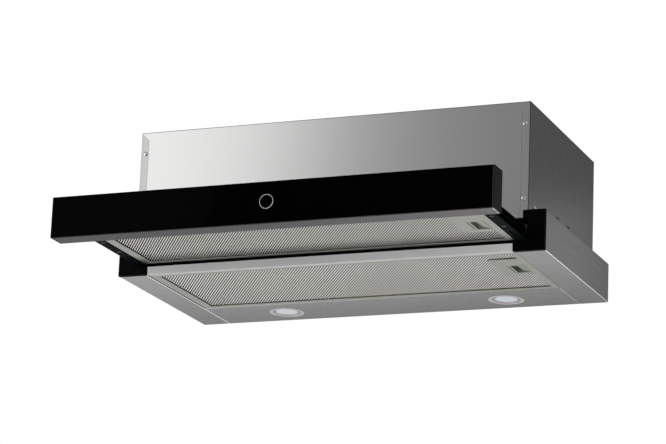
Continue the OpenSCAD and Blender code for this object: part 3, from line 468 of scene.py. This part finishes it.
# Near-black for the frame's left fold: painted shade of the gap beside the strip.
frame_fold = finish("frame_fold", (0.07, 0.065, 0.06), rough=0.45, grain=900, tone=0.05,
                    spread=0.05, relief=0.1)
frame_radius, frame_cut, end_share = 0.0020, 0.0002, 0.6
filters = (("main_filter", "housing"), ("drawer_filter", "drawer"))
for name, body in filters:
    low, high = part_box(name + "_frame")

    def frame_bend(a, b):
        """The lower outer edges of the frame."""
        if not (at(a.z, low.z) and at(b.z, low.z)):
            return 0.0
        if along(1, a, b, 0.1):
            return at(abs(a.x), high.x)
        return end_share * (along(0, a, b, 0.1) and (at(a.y, low.y) or at(a.y, high.y)))

    def frame_finish(face):
        """1 is the fold at the left, painted dark as the shade of the gap beside it."""
        return int(face.center.x < -high.x + frame_radius + frame_cut
                   and face.normal.x < -0.12 and face.normal.z < -0.05)

    repaint(eased(name + "_frame", body, filter_metal, frame_bend,
                  frame_radius, frame_cut), frame_finish, frame_fold)


# ---- Meshes of the grease filters ----
# Expanded aluminium in several layers. The lowest one shows as leaning strands that are a few
# millimetres apart, over a layer of wider strands painted near-black as shade. The mesh leaves
# room for the latch's pocket at the right.
def new_tree(name, *inputs):
    """A geometry tree with the named inputs, each a name and a kind of socket."""
    tree = bpy.data.node_groups.new(name, "GeometryNodeTree")
    tree.interface.new_socket("Geometry", in_out="OUTPUT", socket_type="NodeSocketGeometry")
    for label, kind in inputs:
        tree.interface.new_socket(label, in_out="INPUT", socket_type="NodeSocket" + kind)
    return tree, tree.nodes.new("NodeGroupInput").outputs


def end_tree(tree, copies, paint):
    """Makes the copies real, gives them their finish and puts them out."""
    real = tree.nodes.new("GeometryNodeRealizeInstances")
    tree.links.new(copies, real.inputs["Geometry"])
    painted = tree.nodes.new("GeometryNodeSetMaterial")
    tree.links.new(real.outputs["Geometry"], painted.inputs["Geometry"])
    tree.links.new(paint, painted.inputs["Material"])
    tree.links.new(painted.outputs["Geometry"], tree.nodes.new("NodeGroupOutput").inputs[0])


def strand_tree():
    """Bars that cross a window at a lean, cut off at its left and right sides."""
    sizes = ("Left", "Right", "Front", "Rear", "Start", "Level", "Pitch", "Lean", "Width",
             "Depth", "Twist")
    tree, given = new_tree("leaning_strands", *((size, "Float") for size in sizes),
                           ("Count", "Int"), ("Paint", "Material"))
    calc = calculator(tree)

    def vector(*values):
        node = tree.nodes.new("ShaderNodeCombineXYZ")
        for socket, value in zip(node.inputs, values):
            feed(tree, socket, value)
        return node.outputs[0]

    # One point for each strand, at the middle of its stretch within the window
    strands = tree.nodes.new("GeometryNodeMeshLine")
    tree.links.new(given["Count"], strands.inputs["Count"])
    strands.inputs["Offset"].default_value = (0, 0, 0)
    index = tree.nodes.new("GeometryNodeInputIndex").outputs[0]
    lean, depth = given["Lean"], calc("SUBTRACT", given["Rear"], given["Front"])
    start = calc("ADD", given["Start"], calc("MULTIPLY", index, given["Pitch"]))
    far = calc("DIVIDE", calc("MAXIMUM", calc("SUBTRACT", given["Left"], start), 0.0), lean)
    near = calc("MINIMUM", depth,
                calc("DIVIDE", calc("SUBTRACT", given["Right"], start), lean))
    middle = calc("MULTIPLY", calc("ADD", far, near), 0.5)
    spot = vector(calc("ADD", start, calc("MULTIPLY", middle, lean)),
                  calc("SUBTRACT", given["Rear"], middle), given["Level"])
    put = tree.nodes.new("GeometryNodeSetPosition")
    tree.links.new(strands.outputs["Mesh"], put.inputs["Geometry"])
    tree.links.new(spot, put.inputs["Position"])

    # A bar 1 m long with the strand's width and depth, twisted about its length
    bar = tree.nodes.new("GeometryNodeMeshCube")
    flat = tree.nodes.new("GeometryNodeTransform")
    tree.links.new(bar.outputs["Mesh"], flat.inputs["Geometry"])
    tree.links.new(vector(given["Width"], 1.0, given["Depth"]), flat.inputs["Scale"])
    twisted = tree.nodes.new("GeometryNodeTransform")
    tree.links.new(flat.outputs["Geometry"], twisted.inputs["Geometry"])
    tree.links.new(vector(0.0, given["Twist"], 0.0), twisted.inputs["Rotation"])

    # The bar at each point, turned to the lean and drawn out to the strand's length
    length = calc("MULTIPLY", calc("MAXIMUM", calc("SUBTRACT", near, far), 0.0002),
                  calc("SQRT", calc("ADD", calc("MULTIPLY", lean, lean), 1.0)))
    copies = tree.nodes.new("GeometryNodeInstanceOnPoints")
    tree.links.new(put.outputs["Geometry"], copies.inputs["Points"])
    tree.links.new(twisted.outputs["Geometry"], copies.inputs["Instance"])
    tree.links.new(vector(0.0, 0.0, calc("ARCTANGENT", lean)), copies.inputs["Rotation"])
    tree.links.new(vector(1.0, length, 1.0), copies.inputs["Scale"])
    end_tree(tree, copies.outputs["Instances"], given["Paint"])
    return tree


def grown(name, mesh, tree, **sizes):
    """A mesh made by a node tree from another one, with the inputs given by name."""
    piece = bpy.data.objects.new(name, mesh)
    bpy.context.scene.collection.objects.link(piece)
    maker = piece.modifiers.new("make", "NODES")
    maker.node_group = tree
    for item in tree.interface.items_tree:
        if item.in_out == "INPUT" and item.name in sizes:
            maker[item.identifier] = sizes[item.name]
    return plain_mesh(piece)


leaning_strands = strand_tree()
strand_metal = finish("strand_aluminium", (0.88, 0.86, 0.835), rough=0.30, grain=600,
                      tone=0.08, spread=0.05, relief=0.10)
# The inner layer's near-black colour is painted shade.
inner_layer_painted_shade = finish("inner_mesh_aluminium", (0.012, 0.011, 0.010), rough=0.45, grain=600,
                     tone=0.1, spread=0.05, relief=0.10)
lean = 0.66
border = 0.0035
pocket_reach, pocket_half = 0.0279, 0.0195
for (name, body), (pitch, wire) in zip(filters, ((0.00417, 0.0016), (0.0039, 0.0012))):
    low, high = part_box(name + "_mesh")
    latch_low, latch_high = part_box(name.replace("filter", "latch"))
    left_side, right_side = low.x + border, high.x - border
    front_side, rear_side = low.y + border, high.y - border
    pocket_left = latch_high.x - pocket_reach
    pocket_y = (latch_low.y + latch_high.y) / 2
    windows = (
        ("left", left_side, pocket_left, front_side, rear_side),
        ("front", pocket_left, right_side, front_side, pocket_y - pocket_half),
        ("rear", pocket_left, right_side, pocket_y + pocket_half, rear_side),
    )
    layers = (("strands", 0.0009, 0.0006, wire, 0.12, strand_metal),
              ("inner_layer", 0.0042, 0.0014, 0.0034, -0.2, inner_layer_painted_shade))
    for layer, height, depth, width, twist, paint in layers:
        for part, left, right, front, rear in windows:
            first = left - lean * (rear - front)
            first += (left_side + lean * (rear_side - rear) - first) % pitch
            label = f"{name}_{layer}_{part}"
            piece = grown(label, bpy.data.meshes.new(label), leaning_strands,
                          Left=left, Right=right, Front=front, Rear=rear, Start=first,
                          Level=low.z + height, Pitch=pitch, Lean=lean, Width=width,
                          Depth=depth, Twist=twist, Count=int((right - first) / pitch) + 1,
                          Paint=paint)
            handed_in(piece, body, name + "_mesh")

# ---- Filter latches ----
# A sloped grey-green slide in a recess of each filter, drawn towards a fixed bar
# against a small spring.
latch_plastic = finish("latch_plastic", (0.44, 0.49, 0.38), rough=0.42, grain=800, tone=0.08,
                       spread=0.05, relief=0.15, metallic=0.0)
spring_steel = finish("spring_steel", (0.62, 0.62, 0.62), rough=0.28, grain=900, tone=0.1,
                      spread=0.05, relief=0.1)
for name in ("main_latch", "drawer_latch"):
    eased(name, name, latch_plastic, cut=0.00025)
dress(spring_steel, "main_latch_spring", "drawer_latch_spring")

# ---- Lamps ----
# Two round lamps are pushed into the rear strip: a satin bezel, a darker ring and a frosted lens
# with a little painted glow, though the lamps are unlit, with a finned heat sink inside.
bezel_metal = finish("bezel_metal", (0.80, 0.76, 0.76), rough=0.38, grain=900, tone=0.04,
                     spread=0.04, relief=0.08)
ring_metal = finish("lamp_ring", (0.50, 0.47, 0.48), rough=0.40, grain=900, tone=0.08,
                    spread=0.05, relief=0.1, metallic=0.8)
# The lens's shine is painted glow.
lens_with_painted_glow = finish("frosted_lens", (0.72, 0.76, 0.83), rough=0.45, grain=500, tone=0.03,
                    spread=0.05, relief=0.1, metallic=0.0, shine=0.3)
heat_sink = finish("heat_sink", (0.42, 0.43, 0.45), rough=0.5, grain=300, tone=0.1,
                   spread=0.05, relief=0.2)
dress(bezel_metal, "lamp_bezels")
dress(ring_metal, "lamp_rings")
dress(lens_with_painted_glow, "lamp_lenses")
dress(heat_sink, "lamp_bodies")

# ---- Fan and duct collar ----
# A galvanised scroll holds a forward-curved wheel on the shaft of a motor that
# a three-armed bracket carries in the left inlet. The collar on top is moulded,
# with two flaps on a rod.
wheel_plastic = finish("wheel_plastic", (0.02, 0.021, 0.023), rough=0.45, grain=700,
                       tone=0.15, spread=0.05, relief=0.2, metallic=0.0)
dress(zinc, "scroll_wall", "scroll_side_left", "scroll_side_right", "motor", "fan_shaft",
      "flap_rod")
dress(wheel_plastic, "impeller", "outlet_collar", "flap_front", "flap_rear", "cable_gland")
dress(black_steel, "motor_bracket")

# ---- Controls ----
# A white box with its lid and board, the capacitor, the terminal block, and the
# sensor that the drawer closes.
white_plastic = finish("white_plastic", (0.68, 0.68, 0.65), rough=0.4, grain=700, tone=0.04,
                       spread=0.05, relief=0.15, metallic=0.0)
board_green = finish("board_green", (0.03, 0.16, 0.06), rough=0.35, grain=400, tone=0.2,
                     spread=0.05, relief=0.1, metallic=0.0)
dress(white_plastic, "control_box", "control_lid", "terminal_block", "drawer_sensor", "capacitor")
dress(board_green, "control_board")

# ---- Glass front ----
# Black glass 4 mm thick, bonded to the carrier behind it, with its edges ground.
# The ground edge at the right is painted a little paler, as a highlight.
black_glass = finish("black_glass", (0.0006, 0.0006, 0.0007), rough=0.08, grain=3, tone=0.1,
                     spread=0.02, relief=0.0, metallic=0.0, specular=0.012)
# Paler grey for the right ground edge of the glass only: painted highlight.
right_edge_painted_highlight = finish("ground_glass_edge", (0.10, 0.10, 0.105), rough=0.35, grain=900,
                     tone=0.1, spread=0.05, relief=0.1, metallic=0.0, specular=0.3)
glass_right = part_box("glass_front")[1].x


def glass_finish(face):
    """1 is the ground edge between the front and the right side, painted paler as a highlight."""
    return int(face.center.x > glass_right - 0.0009 and -0.95 < face.normal.y < -0.2)


repaint(eased("glass_front", "drawer", black_glass, cut=0.0006),
        glass_finish, right_edge_painted_highlight)

# ---- Touch ring ----
# A thin pale ring in the glass, lit from behind by the touch board.
print_pale = finish("pale_ring", (0.70, 0.67, 0.66), rough=0.5, grain=900, tone=0.04,
                    spread=0.05, relief=0.05, metallic=0.0, shine=0.45)
ring_low, ring_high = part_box("touch_ring")
ring_middle = (ring_low + ring_high) / 2
ring_outer = (ring_high.x - ring_low.x) / 2 - 0.0010
ring_inner = ring_outer - 0.0007
ring_steps = 96
ring_section = ((ring_outer, ring_low.y), (ring_inner, ring_low.y),
                (ring_inner, ring_high.y), (ring_outer, ring_high.y))
shell = bmesh.new()
hoops = [[shell.verts.new((ring_middle.x + r * math.cos(2 * math.pi * k / ring_steps), y,
                           ring_middle.z + r * math.sin(2 * math.pi * k / ring_steps)))
          for r, y in ring_section] for k in range(ring_steps)]
for k in range(ring_steps):
    here, there = hoops[k], hoops[(k + 1) % ring_steps]
    for j in range(len(ring_section)):
        after = (j + 1) % len(ring_section)
        shell.faces.new((here[j], here[after], there[after], there[j]))
bmesh.ops.recalc_face_normals(shell, faces=shell.faces)
ring_mesh = bpy.data.meshes.new("touch_ring_piece")
shell.to_mesh(ring_mesh)
shell.free()
ring_mesh.materials.append(print_pale)
ring = bpy.data.objects.new("touch_ring_piece", ring_mesh)
bpy.context.scene.collection.objects.link(ring)
handed_in(ring, "drawer", "touch_ring")
dress(board_green, "touch_board")

# ---- Panel carrier and end caps ----
# A grey painted steel box section behind the glass, whose sheared ends are bare
# and bright, with moulded end caps.
carrier_steel = finish("carrier_steel", (0.185, 0.174, 0.178), rough=0.5,
                       grain=(12, 700, 700), tone=0.10, spread=0.05, relief=0.1,
                       metallic=0.0, specular=0.05)
sheared_edge = finish("sheared_edge", (0.80, 0.80, 0.80), rough=0.25, grain=900, tone=0.05,
                      spread=0.05, relief=0.1)
cap_plastic = finish("end_cap_plastic", (0.011, 0.011, 0.0115), rough=0.5, grain=1400,
                     tone=0.12, spread=0.05, relief=0.3, metallic=0.0, specular=0.12)
carrier_low, carrier_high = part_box("panel_carrier")


def carrier_bend(a, b):
    """Half the radius on the long edges, and the whole of it on the lower end edges."""
    if along(0, a, b, 0.5):
        return 0.5
    return (along(1, a, b, 0.01) and at(abs(a.x), carrier_high.x)
            and at(a.z, carrier_low.z))


def carrier_finish(face):
    """1 is the sheared edge at each end."""
    return int(abs(face.center.x) > carrier_high.x - 0.0016 and abs(face.normal.x) > 0.2
               and face.normal.z < -0.2)


repaint(eased("panel_carrier", "drawer", carrier_steel, carrier_bend,
              radius=sheet, cut=0.0005), carrier_finish, sheared_edge)
for node in ("end_cap_left", "end_cap_right"):
    eased(node, "drawer", cap_plastic, cut=0.0004)

# ---- Sides, rear bar and top of the drawer ----
# Folded black steel sides hang on the runners and carry the filter, a bar joins
# them at the rear, and a stainless sheet covers the filter.
for node in ("drawer_side_left", "drawer_side_right", "drawer_rear_bar"):
    eased(node, "drawer", black_steel, cut=0.0002)
eased("drawer_top", "drawer", side_steel, cut=0.0002)

# ---- Screws ----
# Pan-head screws close the box; countersunk black ones sit in the drawer's outer
# flanges. All have a cross recess, and each is turned a little differently.
fastener = dict(grain=900, tone=0.08, spread=0.05, relief=0.1)
screw_steel = finish("screw_steel", (0.80, 0.81, 0.83), rough=0.18, **fastener)
# A dark copy of the screw steel for the rear side screws: painted shade.
dull_screw_steel = finish("dull_screw_steel", (0.16, 0.16, 0.17), rough=0.3, **fastener)
black_screw_steel = finish("black_screw_steel", (0.06, 0.065, 0.07), rough=0.25, **fastener)


def turned(name, profile, steps=28):
    """A mesh turned about Z from pairs of radius and height, closed at both ends."""
    verts, faces = [], []
    for radius, height in profile:
        for k in range(steps):
            angle = 2 * math.pi * k / steps
            verts.append((radius * math.cos(angle), radius * math.sin(angle), height))
    for row in range(len(profile) - 1):
        for k in range(steps):
            a, b = row * steps + k, row * steps + (k + 1) % steps
            faces.append((a, b, b + steps, a + steps))
    faces.append(tuple(range(steps))[::-1])
    faces.append(tuple((len(profile) - 1) * steps + k for k in range(steps)))
    mesh = bpy.data.meshes.new(name)
    mesh.from_pydata(verts, [], faces)
    return mesh


def cross_cut(mesh, width, length, low, high):
    """The mesh as an object, with a cross recess between two heights."""
    piece = bpy.data.objects.new(mesh.name, mesh)
    bpy.context.scene.collection.objects.link(piece)
    for size in ((width, length), (length, width)):
        cutter_mesh = bpy.data.meshes.new("cutter")
        block = bmesh.new()
        bmesh.ops.create_cube(block, size=1.0, matrix=Matrix.Translation((0, 0, (low + high) / 2))
                              @ Matrix.Diagonal((*size, high - low, 1.0)))
        block.to_mesh(cutter_mesh)
        block.free()
        cutter = bpy.data.objects.new("cutter", cutter_mesh)
        bpy.context.scene.collection.objects.link(cutter)
        cut = piece.modifiers.new("cut", "BOOLEAN")
        cut.operation, cut.solver, cut.object = "DIFFERENCE", "EXACT", cutter
        plain_mesh(piece)
        bpy.data.objects.remove(cutter)
    piece.data.shade_smooth()
    piece.data.set_sharp_from_angle(angle=math.radians(35))
    return piece


pan_height, shank_r = 0.0016, 0.0015
front_shank, side_shank = 0.008, 0.004


def pan_head(name, shank):
    """A pan-head screw with its head below zero and its shank above."""
    profile = ((0.0006, -pan_height), (0.0018, -0.00152), (0.0026, -0.00125),
               (0.0031, -0.00075), (0.0032, -0.00020), (0.0032, 0.0), (shank_r, 0.0),
               (shank_r, shank))
    return cross_cut(turned(name, profile), width=0.0009, length=0.0038, low=-0.0030,
                     high=-0.0006)


pan_front = pan_head("pan_front", front_shank)
pan_side = pan_head("pan_side", side_shank)
flat_head = cross_cut(turned("flat_head", (
    (0.0010, -0.00012), (0.0024, 0.0), (0.0028, 0.00012), (shank_r, 0.0010),
    (shank_r, 0.0040))), width=0.0008, length=0.0034, low=-0.0010, high=0.0007)


def place_tree():
    """Copies of one object at the points of a mesh, turned by its attribute."""
    tree, given = new_tree("placed_copies", ("Points", "Geometry"), ("Copy", "Object"),
                           ("Paint", "Material"))
    source = tree.nodes.new("GeometryNodeObjectInfo")
    tree.links.new(given["Copy"], source.inputs["Object"])
    turn = tree.nodes.new("GeometryNodeInputNamedAttribute")
    turn.data_type = "FLOAT_VECTOR"
    turn.inputs["Name"].default_value = "turn"
    copies = tree.nodes.new("GeometryNodeInstanceOnPoints")
    tree.links.new(given["Points"], copies.inputs["Points"])
    tree.links.new(source.outputs["Geometry"], copies.inputs["Instance"])
    tree.links.new(turn.outputs["Attribute"], copies.inputs["Rotation"])
    end_tree(tree, copies.outputs["Instances"], given["Paint"])
    return tree


copies_at_points = place_tree()


def lumps(node):
    """The lowest and highest corner of each separate solid of a node."""
    solid = merged(node)
    unseen, found = set(solid.verts), []
    for seed in solid.verts:
        if seed not in unseen:
            continue
        unseen.discard(seed)
        group, to_visit = {seed}, [seed]
        while to_visit:
            for line in to_visit.pop().link_edges:
                for vert in line.verts:
                    if vert in unseen:
                        unseen.discard(vert)
                        group.add(vert)
                        to_visit.append(vert)
        found.append((Vector([min(v.co[i] for v in group) for i in range(3)]),
                      Vector([max(v.co[i] for v in group) for i in range(3)])))
    solid.free()
    return found


def placed(name, copy, spots, body, node, paint):
    """Screws at the given spots, each a position and a turn."""
    mesh = bpy.data.meshes.new(name)
    mesh.from_pydata([place for place, turn in spots], [], [])
    turns = mesh.attributes.new("turn", "FLOAT_VECTOR", "POINT")
    for index, (place, turn) in enumerate(spots):
        turns.data[index].vector = turn
    piece = grown(name, mesh, copies_at_points, Copy=copy, Paint=paint)
    handed_in(piece, body, node)


placed("front_screw_set", pan_front,
       [(((a.x + b.x) / 2, b.y - front_shank, (a.z + b.z) / 2), (-math.pi / 2, 0, 0.4 * a.z))
        for a, b in lumps("front_screws")], "housing", "front_screws", screw_steel)


def side_screw(a, b):
    """A screw whose head stands out at the left or right side."""
    face = max(abs(a.x), abs(b.x)) - pan_height
    return ((math.copysign(face, a.x), (a.y + b.y) / 2, (a.z + b.z) / 2),
            (0, -math.pi / 2 * math.copysign(1, a.x), 0.3 + 9 * a.y))


cap_rear = -0.255
side_screws = lumps("side_screws")
# The side screw by the cap gets the bright steel, the rear ones the dark copy as painted shade.
for label, by_the_cap, paint in (("front", True, screw_steel), ("rear", False, dull_screw_steel)):
    placed("side_screw_set_" + label, pan_side,
           [side_screw(a, b) for a, b in side_screws if (a.y < cap_rear) == by_the_cap],
           "housing", "side_screws", paint)
placed("drawer_screw_set", flat_head,
       [(((a.x + b.x) / 2, (a.y + b.y) / 2, a.z), (0, 0, 0.5 + 5 * a.y))
        for a, b in lumps("drawer_screws")], "drawer", "drawer_screws", black_screw_steel)
for template in (pan_front, pan_side, flat_head):
    bpy.data.objects.remove(template)
